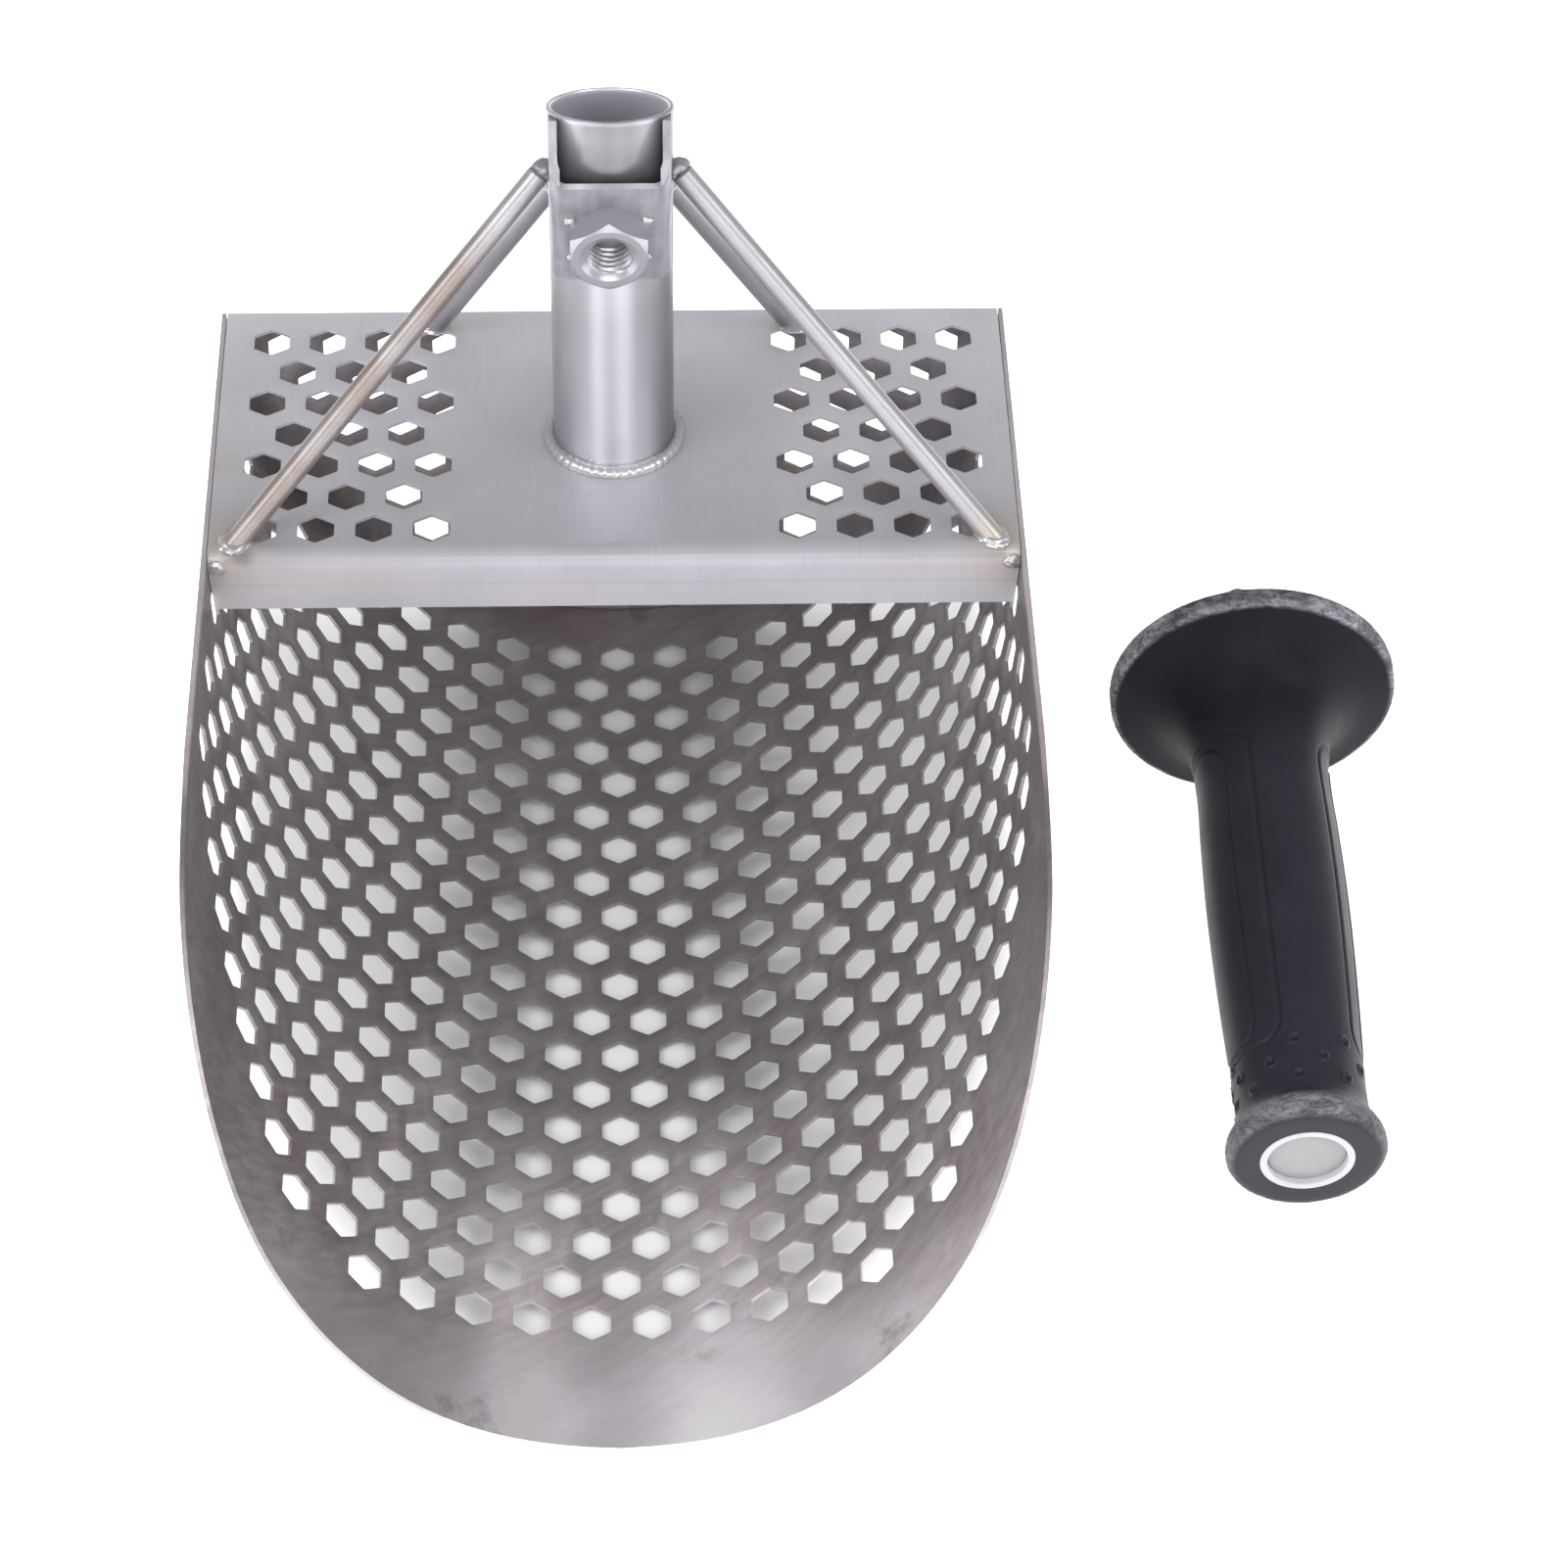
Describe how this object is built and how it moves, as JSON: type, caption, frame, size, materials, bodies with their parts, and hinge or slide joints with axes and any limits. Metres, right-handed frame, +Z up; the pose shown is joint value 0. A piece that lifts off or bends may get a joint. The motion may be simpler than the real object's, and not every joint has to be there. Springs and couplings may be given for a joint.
{
  "type": "beach sand scoop",
  "caption": "Perforated stainless hand scoop for sifting sand, with a strutted socket for a long shaft and a screw-in rubber side grip.",
  "frame": {"origin": "on the axis of the shaft socket, at the top face of the hood", "axes": "+Z up the socket, -Y towards the digging lip, +X towards the side where the grip lies"},
  "size_m": [0.319, 0.3085, 0.2227],
  "materials": {
    "steel": "satin",
    "weld": "rough",
    "zinc": "satin",
    "rubber": "satin",
    "white_plastic": "matte",
    "grey_plastic": "matte"
  },
  "bodies": {
    "scoop": {"basket_shell": "steel", "hood_plate": "steel", "back_wall": "steel", "socket_tube": "steel", "socket_nut": "zinc", "nut_bracket": "steel", "strut_front_left": "steel", "strut_front_right": "steel", "strut_rear_left": "steel", "strut_rear_right": "steel", "socket_base_weld": "weld", "strut_foot_welds": "weld", "strut_top_welds": "weld", "nut_tack_welds": "weld", "flange_corner_welds": "weld"},
    "carried": {"jam_nut": "zinc"},
    "advanced": {"stud_washer": "zinc"},
    "grip": {"grip_sleeve": "rubber", "core_tube": "white_plastic", "end_plug": "grey_plastic", "handle_stud": "zinc", "stud_insert": "zinc"}
  },
  "joints": [
    {"name": "handle_carry", "type": "hinge", "parent": "scoop", "child": "carried", "pos_m": [0.04377, -0.026, -0.04684], "axis": [0, -0.994, -0.1097], "range_deg": [0, 120]},
    {"name": "handle_feed", "type": "slide", "parent": "carried", "child": "advanced", "axis": [0, 0.994, 0.1097], "range_m": [0, 0.0098]},
    {"name": "handle_turn", "type": "hinge", "parent": "advanced", "child": "grip", "pos_m": [0.1734, -0.0234, -0.07043], "axis": [0, 0.994, 0.1097], "range_deg": [0, 2005]}
  ],
  "couplings": [
    {"joint": "handle_feed", "follows": "handle_turn", "m_per_rad": 0.00027852}
  ]
}
